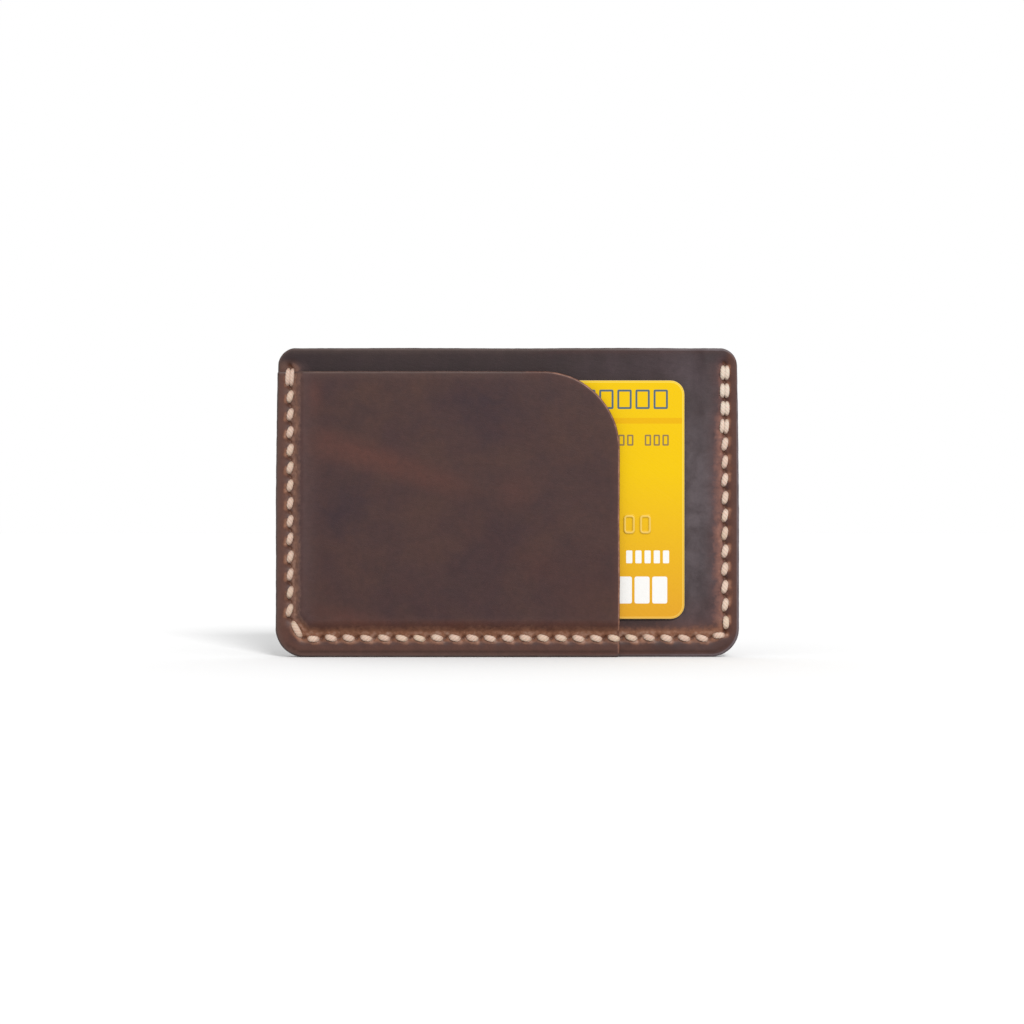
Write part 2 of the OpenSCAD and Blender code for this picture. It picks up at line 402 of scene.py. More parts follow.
def slab(name, shape, faces_y, thickness, edge, materials, ring_step=0.4, inner=(), loops=(),
         back_loops=None, waver=None, region=None, fray=0.0):
    """A closed sheet with rounded edges. faces_y are the functions that give its front and its back
    face's y. edge is (margin, front radius, back radius). materials are those of the front, the edge
    and the back, then any that region gives for the front's faces by their middles. waver moves the
    edge outward, and fray makes it uneven by that much."""
    margin, front_r, back_r = edge
    rim, normals = shape.ring(ring_step)
    if waver is not None:
        rim = rim + normals * waver(*rim.T, normals[:, 0])[:, None]
    boundary = rim - normals * margin
    flat, triangles, place = triangulate(boundary, inner, loops)
    count = len(flat)
    if back_loops is None:
        back_flat, back_triangles, back_place = flat, triangles, place
    else:
        back_flat, back_triangles, back_place = triangulate(boundary, inner, back_loops)
    front_y, back_y = faces_y[0](*flat.T), faces_y[1](*back_flat.T)
    points = [np.insert(flat, 1, front_y, 1), np.insert(back_flat, 1, back_y, 1)]
    rings = [place]
    total = count + len(back_flat)
    rim_front, rim_back = front_y[place], back_y[back_place]
    for k, (inset, depth) in enumerate(edge_profile(thickness, front_r, back_r)):
        wobble = fray * ripple(rim[:, 0] + 7 * k, rim[:, 1] - 5 * k, 1.6, 50 + k)
        ring = rim - normals * (inset + wobble * (inset < 0.3))[:, None]
        y = rim_front + (rim_back - rim_front) * (depth / thickness)
        points.append(np.insert(ring, 1, y, 1))
        rings.append(total + np.arange(len(ring)))
        total += len(ring)
    rings.append(count + back_place)
    faces = [tuple(t) for t in triangles] + [tuple(t + count) for t in back_triangles[:, ::-1]]
    index = [0] * len(triangles) + [2] * len(back_triangles)
    if region is not None:
        index[:len(triangles)] = list(region(*flat[triangles].mean(1).T))
    for k in range(len(rings) - 1):
        one, two = rings[k], rings[k + 1]
        faces += zip(one, two, np.roll(two, -1), np.roll(one, -1))
        index += [0 if k < 1 else 2 if k >= len(rings) - 2 else 1] * len(rim)
    return make_object(name, np.concatenate(points), faces, materials, index)


# ---- materials

class Paint:
    """A material under construction. Its methods add nodes and return their output sockets. place is
    the point that is being coloured, in millimetres."""

    def __init__(self, name):
        self.material = bpy.data.materials.new(name)
        self.material.use_nodes = True
        self.tree = self.material.node_tree
        self.surface = self.tree.nodes["Principled BSDF"]
        where = self.node("ShaderNodeTexCoord", {}).outputs["Object"]
        in_mm = self.node("ShaderNodeVectorMath", {0: where, "Scale": 1 / MM}, operation="SCALE")
        self.place = in_mm.outputs[0]

    def put(self, socket, value):
        """Links a socket to the value, or gives it that value."""
        if isinstance(value, bpy.types.NodeSocket):
            self.tree.links.new(value, socket)
        else:
            socket.default_value = value

    def node(self, kind, inputs, **settings):
        made = self.tree.nodes.new(kind)
        for key, value in settings.items():
            setattr(made, key, value)
        for key, value in inputs.items():
            self.put(made.inputs[key], value)
        return made

    def stretched(self, scale, degrees=0, place=None):
        """The place, or another vector, turned in X and Z and then scaled."""
        turned = self.node("ShaderNodeMapping", {"Vector": self.place if place is None else place,
                                                 "Rotation": (0, math.radians(degrees), 0)})
        return self.node("ShaderNodeMapping", {"Vector": turned.outputs[0], "Scale": scale}).outputs[0]

    def noise(self, size, detail=3.0, rough=0.5, distort=0.0, place=None):
        made = self.node("ShaderNodeTexNoise", {
            "Vector": self.place if place is None else place, "Scale": 1 / size,
            "Detail": detail, "Roughness": rough, "Distortion": distort})
        return made.outputs["Fac"]

    def cells(self, size, output="Distance"):
        inputs = {"Vector": self.place, "Scale": 1 / size}
        return self.node("ShaderNodeTexVoronoi", inputs).outputs[output]

    def parts(self, vector=None):
        """The X, Y and Z of the place, or of another vector."""
        vector = self.place if vector is None else vector
        return self.node("ShaderNodeSeparateXYZ", {"Vector": vector}).outputs

    def math(self, operation, a, b=0.0, c=0.0):
        return self.node("ShaderNodeMath", {0: a, 1: b, 2: c}, operation=operation).outputs[0]

    def between(self, value, low, high, out_low=0.0, out_high=1.0):
        """value from low to high becomes out_low to out_high, clamped."""
        made = self.node("ShaderNodeMapRange", {
            "Value": value, "From Min": low, "From Max": high, "To Min": out_low, "To Max": out_high})
        return made.outputs[0]

    def mix(self, share, a, b):
        inputs = {"Factor": share, "A": a, "B": b}
        return self.node("ShaderNodeMix", inputs, data_type="RGBA").outputs["Result"]

    def value(self, name):
        """A number stored on the mesh."""
        return self.node("ShaderNodeAttribute", {}, attribute_name=name).outputs["Fac"]

    def bump(self, height, depth, strength):
        """depth is in millimetres for a height of 1."""
        inputs = {"Height": height, "Distance": depth * MM, "Strength": strength}
        return self.node("ShaderNodeBump", inputs).outputs[0]

    def finish(self, colour, rough, **sockets):
        """Sets the surface's own sockets, the others by name with _ for a space."""
        sockets.update(Base_Color=colour, Roughness=rough)
        for key, value in sockets.items():
            self.put(self.surface.inputs[key.replace("_", " ")], value)
        return self.material


def srgb(red, green, blue):
    """A linear colour from sRGB numbers from 0 to 255."""
    def linear(level):
        level /= 255
        return level / 12.92 if level <= 0.04045 else ((level + 0.055) / 1.055) ** 2.4
    return (linear(red), linear(green), linear(blue), 1.0)


FRONT_LIGHT = 1.8    # the light that the wallet's front gets, against a white wall's in daylight
LEATHER_SHEEN = 0.026  # what the leather's surface reflects of it


def shown(red, green, blue, sheen=0.0):
    """The base colour that shows as these sRGB numbers on the wallet's front in this studio."""
    lit = [max((level - sheen) / FRONT_LIGHT, 0.0015) for level in srgb(red, green, blue)[:3]]
    return (*lit, 1.0)


def leather(red, green, blue):
    """The same for waxed leather."""
    return shown(red, green, blue, LEATHER_SHEEN)


def soft_spot(p, middle, size, turn):
    """1 at a place on the panel, falling to 0 at the edge of a turned ellipse round it."""
    moved = p.node("ShaderNodeVectorMath", {0: p.place, 1: (middle[0], 0, middle[1])},
                   operation="SUBTRACT").outputs[0]
    scaled = p.stretched((1 / size[0], 0, 1 / size[1]), turn, moved)
    length = p.node("ShaderNodeVectorMath", {0: scaled}, operation="LENGTH").outputs["Value"]
    return p.math("SMOOTH_MAX", p.math("SUBTRACT", 1.0, length), 0.0, 0.3)


def leather_grain(name, deep, lit, spots):
    """Waxed pull-up leather: dark brown clouds, soft spots of other colours, lighter where it is drawn,
    with painted light on the pressed step's slope and the seam's inner side. Round its edge it is
    scuffed, with a painted sheen and highlight; painted shade lies in the awl's slits and along the
    bottom edge, and some spots are painted sheen. Each spot is (middle, size, turn, colour, strength)."""
    p = Paint(name)
    clouds = p.noise(20, 3, 0.55, 0.8)
    blots = p.noise(6, 4, 0.6, 0.4)
    fine = p.noise(0.5, 5, 0.65)
    colour = p.mix(p.between(clouds, 0.35, 0.65), leather(*deep), leather(*lit))
    colour = p.mix(p.between(blots, 0.42, 0.7, 0, 0.4), colour, leather(70, 57, 60))
    for middle, size, turn, shade, strength in spots:
        share = p.math("MULTIPLY", soft_spot(p, middle, size, turn), strength)
        share = p.math("MULTIPLY", share, p.between(blots, 0.3, 0.7, 0.4, 1.3))
        colour = p.mix(share, colour, leather(*shade))
    across, _, up = p.parts()
    low, right = p.between(up, 9, 6), p.between(across, 20, 40)
    margin = p.value("margin")
    warm = p.math("MAXIMUM", low, margin)
    drawn = p.math("MULTIPLY", p.value("pull"), p.between(p.noise(1.1, 4, 0.6), 0.3, 0.7, 0.6, 1.2))
    colour = p.mix(p.math("MULTIPLY", margin, 0.85), colour, leather(103, 73, 65))
    # Painted shade in a band just above the bottom edge, where the face rounds down
    colour = p.mix(p.value("crease"), colour, leather(79, 57, 51))
    faint = p.mix(right, leather(106, 84, 82), leather(108, 80, 79))
    faint = p.mix(warm, faint, leather(112, 76, 63))
    colour = p.mix(p.between(drawn, 0.02, 0.4, 0, 0.75), colour, faint)
    strong = p.mix(right, leather(154, 116, 100), leather(154, 110, 97))
    strong = p.mix(warm, strong, leather(156, 110, 88))
    colour = p.mix(p.between(drawn, 0.24, 0.75), colour, strong)
    colour = p.mix(p.between(drawn, 0.72, 1.2, 0, 0.8), colour, leather(200, 164, 146))
    # Round the edge: scuffed leather with a painted sheen. It is grey, turning lighter toward the right as a
    # painted highlight, and takes a rust-coloured painted highlight along the free edges
    rim = p.mix(p.between(across, 20, 50), leather(106, 88, 82), leather(142, 130, 134))
    rim = p.mix(p.between(p.value("bare"), 0.05, 0.2), rim, leather(104, 74, 68))
    colour = p.mix(p.math("MULTIPLY", p.value("wear"), 0.85), colour, rim)
    # Painted shade in the awl's slits, darker along the bottom row
    pit = p.mix(low, leather(112, 78, 64), leather(94, 60, 44))
    colour = p.mix(p.value("pit"), colour, pit)
    mottle = p.math("ADD", p.between(fine, 0.3, 0.7, 0, 0.1),
                    p.between(p.noise(1.3, 3), 0.35, 0.65, 0, 0.12))
    colour = p.mix(mottle, colour, (0, 0, 0, 1))
    cell = p.node("ShaderNodeSeparateColor", {"Color": p.cells(8.0, output="Color")}).outputs[0]
    speck = p.math("MULTIPLY", p.between(cell, 0.86, 0.88), p.between(p.cells(8.0), 0.022, 0.012))
    colour = p.mix(p.math("MULTIPLY", speck, 0.6), colour, leather(180, 160, 150))
    pores = p.between(p.cells(0.42), 0.05, 0.32)
    wrinkles = p.noise(1, 4, 0.6, 0.5, p.stretched((1 / 3, 1, 1 / 0.7), -12))
    height = p.math("MULTIPLY_ADD", pores, 0.35, p.math("MULTIPLY", fine, 0.5))
    height = p.math("MULTIPLY_ADD", wrinkles, 0.6, height)
    rough = p.between(p.noise(3.5, 4, 0.6), 0.3, 0.7, 0.42, 0.56)
    return p.finish(colour, rough, Specular_IOR_Level=0.2, Normal=p.bump(height, 0.04, 0.7))


def leather_edge():
    """A cut edge: burnished and scuffed round the wallet, lighter grey toward the right as a painted
    highlight, with lighter fibres at the raw cut, which grow toward the right partly as a painted highlight.
    """
    p = Paint("leather_edge")
    fibres = p.noise(1, 4, 0.6, 0.3, p.stretched((1 / 1.2, 1 / 0.3, 1 / 1.2)))
    blots = p.noise(4, 3)
    # Burnished edge, lighter grey toward the right as a painted highlight
    burnish_and_sheen = p.mix(p.between(p.parts()[0], 20, 50), leather(98, 83, 79), leather(122, 110, 114))
    burnish_and_sheen = p.mix(p.between(fibres, 0.35, 0.65, 0.3, 0), burnish_and_sheen, leather(70, 57, 55))
    cut = p.mix(p.between(fibres, 0.35, 0.65), leather(80, 58, 54), leather(98, 70, 64))
    colour = p.mix(p.between(p.value("bare"), 0.05, 0.2), burnish_and_sheen, cut)
    colour = p.mix(p.between(blots, 0.4, 0.7, 0, 0.5), colour, leather(70, 57, 55))
    # Lighter fibres at a raw cut; they grow toward the right partly as a painted highlight
    bare = p.mix(p.between(fibres, 0.3, 0.7), leather(136, 94, 78), leather(178, 132, 112))
    chips = p.between(p.noise(2.2, 4, 0.7), 0.36, 0.62, 0.3, 1)
    colour = p.mix(p.math("MULTIPLY", p.value("bare"), chips), colour, bare)
    return p.finish(colour, p.between(fibres, 0.3, 0.7, 0.38, 0.55),
                    Specular_IOR_Level=0.25, Normal=p.bump(fibres, 0.03, 0.6))


def leather_flesh():
    """The rough side, turned inward: matted fibres."""
    p = Paint("leather_flesh")
    nap = p.noise(0.35, 6, 0.7, 1.2)
    clouds = p.noise(9, 3)
    colour = p.mix(p.between(nap, 0.3, 0.7), leather(92, 66, 56), leather(132, 98, 82))
    colour = p.mix(p.between(clouds, 0.4, 0.7, 0, 0.5), colour, leather(88, 64, 56))
    return p.finish(colour, 0.92, Specular_IOR_Level=0.15, Normal=p.bump(nap, 0.12, 0.8))


def waxed_thread():
    """Cream waxed thread of twisted strands, with painted shade in the grooves between them and where a
    stitch dives into its hole, and lighter at the top of the right row.
    """
    p = Paint("waxed_thread")
    around, along = p.value("around"), p.value("along")
    turn = p.math("MULTIPLY_ADD", along, TWIST, p.math("MULTIPLY", around, STRANDS))
    ridge = p.math("ABSOLUTE", p.math("SINE", p.math("MULTIPLY", turn, math.pi)))
    fibre = p.math("SINE", p.math("MULTIPLY", turn, 8 * math.pi))
    fuzz = p.noise(0.16, 4, 0.6)
    dirt = p.noise(5, 3)
    # Darker in the grooves between the strands: painted shade
    colour = p.mix(p.between(ridge, 0.05, 0.6), shown(210, 180, 160), shown(238, 211, 192))
    colour = p.mix(p.between(fuzz, 0.35, 0.7, 0, 0.45), colour, shown(218, 190, 172))
    colour = p.mix(p.between(dirt, 0.45, 0.75, 0, 0.45), colour, shown(200, 164, 144))
    colour = p.mix(p.between(p.noise(8, 2), 0.5, 0.66, 0, 0.45), colour, shown(228, 209, 178))
    across, _, up = p.parts()
    colour = p.mix(p.between(across, -49, -44, 0.35, 0), colour, shown(186, 150, 130))
    colour = p.mix(p.between(up, 8, 6, 0, 0.25), colour, shown(204, 162, 138))
    right_top = p.math("MULTIPLY", p.between(across, 20, 45), p.between(up, 48, 58, 0, 0.6))
    colour = p.mix(right_top, colour, shown(234, 220, 202))
    # Painted shade where the thread dives into its hole
    colour = p.mix(p.between(p.value("dive"), 0.05, 0.9, 0, 0.85), colour, shown(150, 112, 92))
    height = p.math("MULTIPLY_ADD", fibre, 0.12, p.math("MULTIPLY_ADD", fuzz, 0.4, ridge))
    return p.finish(colour, p.between(fuzz, 0.3, 0.7, 0.5, 0.68), Specular_IOR_Level=0.3,
                    Subsurface_Weight=0.06, Subsurface_Scale=0.4 * MM, Normal=p.bump(height, 0.05, 0.8))


def card_print(name, low_colour, high_colour=None):
    """Printed plastic under a laminate, in one colour or in one that changes up the card."""
    p = Paint(name)
    share = p.between(p.parts()[2], CARD_LOW[2], CARD_LOW[2] + 0.62 * (CARD_HIGH[2] - CARD_LOW[2]))
    colour = p.mix(share, shown(*low_colour), shown(*(high_colour or low_colour)))
    colour = p.mix(p.between(p.noise(0.12, 2), 0.3, 0.7, 0, 0.04), colour, shown(230, 150, 60))
    marks = p.noise(1, 4, 0.6, 0, p.stretched((1 / 12, 1, 1 / 0.3), -35))
    return p.finish(colour, p.between(marks, 0.45, 0.75, 0.27, 0.38),
                    Specular_IOR_Level=0.08, Normal=p.bump(p.noise(2.5, 2), 0.004, 0.5))


def chip_gold():
    """Gold plating with fine brushed lines."""
    p = Paint("chip_gold")
    lines = p.noise(1, 3, 0.6, 0, p.stretched((1 / 5, 1, 1 / 0.02)))
    colour = p.mix(p.between(lines, 0.35, 0.65), srgb(236, 198, 112), srgb(246, 214, 138))
    return p.finish(colour, p.between(lines, 0.3, 0.7, 0.22, 0.36),
                    Metallic=1.0, Normal=p.bump(lines, 0.001, 0.5))


def moulded(name, colour, other, rough, size=0.4):
    """A plain coated or moulded surface with a fine uneven texture."""
    p = Paint(name)
    fine = p.noise(size, 4, 0.6)
    return p.finish(p.mix(p.between(fine, 0.35, 0.65), shown(*colour), shown(*other)),
                    p.between(p.noise(4 * size, 3), 0.3, 0.7, rough - 0.06, rough + 0.06),
                    Specular_IOR_Level=0.25, Normal=p.bump(fine, 0.01, 0.5))


def signature_film():
    """Off-white writing film with a pattern of fine slanted lines."""
    p = Paint("signature_film")
    slanted_up = p.parts(p.stretched((1, 1, 1), 30))[2]
    wave = p.math("SINE", p.math("MULTIPLY", slanted_up, 2 * math.pi / 0.9))
    colour = p.mix(p.between(wave, 0.3, 0.9, 0, 0.55), shown(236, 234, 226), shown(196, 206, 216))
    return p.finish(colour, 0.8, Specular_IOR_Level=0.2, Normal=p.bump(p.noise(0.2, 3), 0.01, 0.5))


def studio_white():
    p = Paint("studio_white")
    shade = p.mix(p.between(p.noise(400, 2), 0.3, 0.7), (0.7, 0.7, 0.7, 1), (0.71, 0.71, 0.71, 1))
    return p.finish(shade, 0.9, Specular_IOR_Level=0.0)


# The greyish bloom colour is partly the wax bloom and partly a painted sheen
RUST, DUSK, BLOOM_AND_SHEEN, TAN = (101, 69, 63), (68, 56, 62), (106, 96, 99), (112, 70, 55)
FRONT_GRAIN = leather_grain("leather_front", (82, 62, 62), (90, 67, 62), [
    ((-30, 44.8), (23, 4.6), -17, RUST, 1.25), ((-44, 59), (3, 6), 0, RUST, 0.8),
    ((-14, 39), (9, 4), -12, RUST, 0.5), ((2, 37.5), (6, 5), 0, RUST, 0.6),
    ((7, 21), (6, 6), 0, RUST, 0.35), ((-43, 48), (8, 4.5), -8, RUST, 0.8),
    ((-36, 9), (14, 3), -10, RUST, 0.8), ((-3, 57), (16, 10), 10, DUSK, 0.7),
    ((-36, 33), (16, 9), -10, DUSK, 0.6), ((18, 12), (10, 14), 0, RUST, 0.25),
    ((-12, 6.6), (70, 2.4), 0, TAN, 0.7), ((-46, 34), (4, 44), 0, (96, 76, 75), 0.8),
    ((-49.5, 61), (4, 7), 0, (134, 98, 76), 0.8)])
# On the centre panel, the grey band between the card and the right seam and the greyer patch at its top right
# are wax bloom with a painted sheen
CENTRE_GRAIN = leather_grain("leather_centre", (62, 52, 53), (69, 57, 57), [
    ((42.5, 33), (10, 46), 0, BLOOM_AND_SHEEN, 1.1), ((34, 66), (26, 8), 0, (100, 84, 88), 0.45),
    ((42, 7), (9, 8), 0, (104, 80, 79), 0.6), ((-50, 65.5), (3.5, 2), 0, (130, 96, 78), 0.8)])
BACK_GRAIN = leather_grain("leather_back", (74, 57, 56), (86, 64, 58), [
    ((14, 44), (26, 5), 20, RUST, 1.0), ((-20, 24), (22, 4), 12, RUST, 0.7),
    ((-18, 52), (16, 12), 0, DUSK, 0.7), ((30, 18), (14, 12), 0, DUSK, 0.6)])
EDGE, FLESH = leather_edge(), leather_flesh()
THREAD = waxed_thread()


# ---- the leather panels

def press_share(x, z, both, shift):
    """How far the pressed pocket stands out at each point, from 0 at the margin to 1."""
    toward = unit(np.array([LEFT_LOW_Z - BOTTOM_Z, SIDE_X - BOTTOM_X]))
    slopes = [(z, STEP_LOW)]
    for sign in (-1, 1) if both else (-1,):
        from_edge = WALLET_HIGH[0] - sign * x
        from_corner = (SIDE_X - sign * x) * toward[0] + (z - LEFT_LOW_Z) * toward[1]
        slopes += [(from_edge, STEP_SIDE), (from_corner, STEP_CORNER)]
    shares = [(distance - step[0] + shift) / (step[1] - step[0]) for distance, step in slopes]
    return smooth(np.minimum.reduce(shares))


def edge_waver(x, z, normal_x):
    """The cut is a little uneven, and the wallet is slightly narrower at its mouth."""
    taper = MOUTH_TAPER * (z / WALLET_HIGH[2]) ** 3 * np.abs(normal_x) * (np.abs(x) > BOTTOM_X)
    uneven = 0.05 * ripple(x, z, 30, 11) + 0.025 * ripple(x, z, 6, 12) - 0.02
    return (uneven - taper) * smooth(z / 4)


def swell(x, z):
    """Gentle unevenness of the pressed pocket, from 0 outward."""
    return 0.07 * (1 + ripple(x, z, 34, 21)) + 0.015 * (1 + ripple(x, z, 7, 22))


def pressed_face(y, out, both, shift, drawn_by=()):
    """A pressed panel's face: flat at y by the seam, standing out at the pocket, and drawn in at the
    seam by any stitches on it."""
    def face(x, z):
        share = press_share(x, z, both, shift)
        raised = y + out * POCKET_GAP * share + out * swell(x, z) * share
        if not drawn_by:
            return raised
        return raised - out * SeamField(x, z, drawn_by, out).depth() * (1 - share)
    return face


def panel(name, shape, faces_y, materials, radii, stitches, out, both=None):
    """One leather panel. radii are those of its edge's front and back, out is the grain side, -1 or
    1, and both says of a pressed panel whether it slopes at the right too. What it stores on the
    mesh, each from 0 to 1: how far the leather is drawn, with painted light on the pressed step's
    slope, painted shade in a slit, scuffing with a painted sheen and highlight at its edge, the warm
    margin outside the seam, painted shade along the bottom edge, and the raw cut, with a painted
    highlight that grows toward the right."""
    def zone(x, z):
        row = SeamField(x, z, stitches, out).row
        return np.where(row < NEAR, 0, np.where(row < FAR, 1, 2))

    inner = lattice(shape, LEATHER_SPACING, EDGE_MARGIN, zone)
    made = slab(name, shape, faces_y, LEATHER_T, (EDGE_MARGIN, *radii), materials,
                inner=inner, waver=edge_waver, fray=0.02)
    points = np.array([v.co for v in made.data.vertices]) / MM
    x, z = points[:, 0], points[:, 2]
    field = SeamField(x, z, stitches, out)
    share = 0.0 if both is None else press_share(x, z, both, STEP_SHIFT)
    # The pressed step's slope is lighter: partly the pull-up leather's lightening at a bend, partly painted
    # light that cancels the slope's shade
    bend_and_light = 4 * share * (1 - share)
    bend_and_light = bend_and_light * (0.2 + 0.13 * ripple(x, z, 10, 34) + 0.05 * ripple(x, z, 3, 35)) * smooth((z - 4) / 8)
    margin = 1 - smooth((MARGIN_SHAPE.inset(x, z) - 2.0) / 1.4)
    margin = margin * (1 - 0.55 * smooth((x - 28) / 8) * smooth((7 - z) / 4))
    margin = margin * np.where(x < 0, smooth((66.5 - z) / 2), 1)
    from_edge = WALLET_SHAPE.inset(x, z)
    set_values(made,
               pull=np.clip(field.pull(x, z) + bend_and_light, 0, 1),
               # Where the painted shade of a slit goes
               pit=np.exp(-(field.slit / 0.33) ** 4),
               # The edge band: scuffing, plus the painted sheen and highlight of the rounded edge
               wear=np.exp(-np.maximum(shape.inset(x, z) - 0.2, 0) / 0.5),
               margin=margin,
               # Painted shade along the bottom edge
               crease=falloff(from_edge - 1.2, 0.34) * smooth((4 - z) / 2),
               # Raw cut edges of the pocket's mouth; their rise toward the right is partly a painted
               # highlight where the edge faces the light
               bare=smooth((from_edge - 0.4) / 1.2) * (0.1 + 0.9 * smooth((x - 2) / 16)))
    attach(made, "wallet")
    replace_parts(made, name.replace("_leather", ""))


def front_pocket_leather():
    front = pressed_face(SEAM_FRONT, -1, False, STEP_SHIFT, FRONT_STITCHES)
    back = pressed_face(CENTRE_FRONT, -1, False, 0)
    panel("front_pocket_panel_leather", POCKET_SHAPE, (front, back), [FRONT_GRAIN, EDGE, FLESH],
          (POCKET_GRAIN_R, FLESH_R), FRONT_STITCHES, -1, both=False)


def centre_leather():
    def front(x, z):
        field = SeamField(x, z, CENTRE_STITCHES, -1)
        middle = (CARD_HIGH[0] + SIDE_X) / 2 + 0.4
        half = (SIDE_X - CARD_HIGH[0]) / 2 - 1.2
        puff = smooth(1 - np.abs(x - middle) / half) * smooth((z - 6) / 8)
        covered = smooth(POCKET_SHAPE.inset(x, z) / 1.0)
        return CENTRE_FRONT - PUFF * puff + field.depth() * (1 - covered)

    panel("centre_panel_leather", WALLET_SHAPE, (front, level(CENTRE_BACK)),
          [CENTRE_GRAIN, EDGE, FLESH], (GRAIN_R, FLESH_R), CENTRE_STITCHES, -1)


def back_leather():
    front = pressed_face(CENTRE_BACK, 1, True, 0)
    back = pressed_face(SEAM_BACK, 1, True, STEP_SHIFT, ALL_STITCHES)
    panel("back_panel_leather", WALLET_SHAPE, (front, back), [FLESH, EDGE, BACK_GRAIN],
          (FLESH_R, GRAIN_R), ALL_STITCHES, 1, both=True)


# ---- the thread

STITCH_RINGS, STITCH_SIDES = 25, 18


def thread_level(x, z, out):
    """The y that a stitch lies on. It climbs from the centre panel over the pocket's edge."""
    if out > 0:
        return SEAM_BACK - THREAD_SUNK
    on_pocket = smooth((POCKET_SHAPE.inset(x, z) + 1.0) / 1.0)
    return CENTRE_FRONT + (SEAM_FRONT - CENTRE_FRONT) * on_pocket + THREAD_SUNK


def stitch_tube(start, end, out, width, height, phase):
    """One stitch's points and faces, and each point's turn, distance and depth in the hole."""
    run = end - start
    length = np.linalg.norm(run)
    run = run / length
    angle = np.linspace(0, math.pi, STITCH_RINGS)
    power = 2 / 2.7
    reach = np.sign(np.cos(angle)) * np.abs(np.cos(angle)) ** power
    rise = np.sin(angle) ** power
    centre = (start + end) / 2 - reach[:, None] * run * length / 2
    lift = rise * (THREAD_DIVE + height * 0.38) - THREAD_DIVE
    spine = np.insert(centre, 1, thread_level(*centre.T, out) + out * lift, 1)
    tangent = unit(np.gradient(spine, axis=0))
    side = np.array([-run[1], 0.0, run[0]])
    up = np.cross(tangent, side)
    plump = 0.62 + 0.38 * rise ** 2
    along = np.concatenate([[0], np.cumsum(np.linalg.norm(np.diff(spine, axis=0), axis=1))])
    turn = np.linspace(0, 1, STITCH_SIDES, endpoint=False)
    twist = STRANDS * turn + TWIST * along[:, None] + phase
    lobes = 1 + 0.07 * (np.abs(np.sin(math.pi * twist)) - 0.6)
    wide = (width / 2) * plump[:, None] * lobes * np.cos(2 * math.pi * turn)
    tall = (height / 2) * (0.75 + 0.25 * plump)[:, None] * lobes * np.sin(2 * math.pi * turn)
    points = spine[:, None, :] + wide[..., None] * side + tall[..., None] * up[:, None, :]
    rings = np.arange(STITCH_RINGS * STITCH_SIDES).reshape(STITCH_RINGS, STITCH_SIDES)
    faces = []
    for one, two in zip(rings, rings[1:]):
        faces += zip(one, np.roll(one, -1), np.roll(two, -1), two)
    faces += [rings[0, ::-1], rings[-1]]
    values = np.stack([np.tile(turn, STITCH_RINGS), np.repeat(along + phase / TWIST, STITCH_SIDES),
                       np.repeat(1 - rise, STITCH_SIDES)])
    return points.reshape(-1, 3), faces, values


def stitches(name, out):
    """Every stitch on one side, as one object."""
    rng = np.random.default_rng(5 if out < 0 else 6)
    points, faces, values, total = [], [], [], 0
    for i in ALL_STITCHES:
        start, end = stitch_ends(i, out)
        run = unit(end - start)
        side = np.array([-run[1], run[0]])
        offsets = (-LOCKED_APART, LOCKED_APART) if is_locked(i) else (0.0,)
        for offset in offsets:
            nudge = rng.uniform(-0.06, 0.06, 2)
            width = (LOCKED_WIDE if is_locked(i) else THREAD_WIDE) * rng.uniform(0.95, 1.06)
            height = rng.uniform(0.72, 0.82)
            shift = side * (offset + nudge[0])
            made = stitch_tube(start + shift, end + shift + nudge[1] * side, out, width, height,
                               rng.uniform(0, 1))
            points.append(made[0])
            faces += [tuple(v + total for v in face) for face in made[1]]
            values.append(made[2])
            total += len(made[0])
    obj = make_object(name, np.concatenate(points), faces, [THREAD])
    around, along, dive = np.concatenate(values, 1)
    set_values(obj, around=around, along=along, dive=dive)
    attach(obj, "wallet")
    return obj


# ---- the card

def card_rect(x, z, wide, high, radius):
    """A rectangle placed from the card's lower left corner."""
    corner = CARD_LOW[[0, 2]]
    return RoundedRect(corner + (x, z), corner + (x + wide, z + high), radius)


CARD_EDGE = (0.3, 0.13, 0.13)
RIM_HIGHLIGHT = 0.5            # how wide the pale band of painted highlight along the card's rounded edge is
MARK_SIZE = (2.5, 4.2)
MARK_R = 0.55
MARK_RINGS = (0.55, 0.42, 0.3, 0.18, 0.06, -0.06, -0.18, -0.3, -0.42, -0.55)  # the mesh's, round a line
MARK_LINE = 0.5
MARK_PITCH = 3.63
MARK_FIRST = 11.4
MARK_LOW = 19.3
RAISE_FOOT, RAISE_SLOPE = 0.42, 0.32  # a raised line's half width, and its slope's
BACK_DENT = 0.8  # how deep a mark is on the back, as a share of its height
FILM_PROUD = 0.02
CHIP_GAP = 0.2
CHIP_BASE_PROUD, PAD_PROUD, PAD_SUNK = 0.008, 0.03, 0.08
PAD_WIDE = 4.1
CHIP_R, PAD_CORNER_R, PAD_R, CENTRE_PAD_R = 1.6, 1.55, 0.25, 0.5


def embossed_marks():
    """The middle lines of the blank embossed marks, in four groups of four."""
    wide, high = np.array(MARK_SIZE) - MARK_LINE
    marks = []
    for group in range(4):
        for i in range(4):
            x = MARK_FIRST + (5 * group + i) * MARK_PITCH - MARK_SIZE[0] / 2
            marks.append(card_rect(x + MARK_LINE / 2, MARK_LOW + MARK_LINE / 2, wide, high, MARK_R))
    return marks


def emboss_height(marks):
    """How far the card's face stands out at each point, from 0 to 1."""
    def height(x, z):
        from_lines = np.minimum.reduce([np.abs(mark.inset(x, z)) for mark in marks])
        return smooth((RAISE_FOOT - from_lines) / RAISE_SLOPE)
    return height


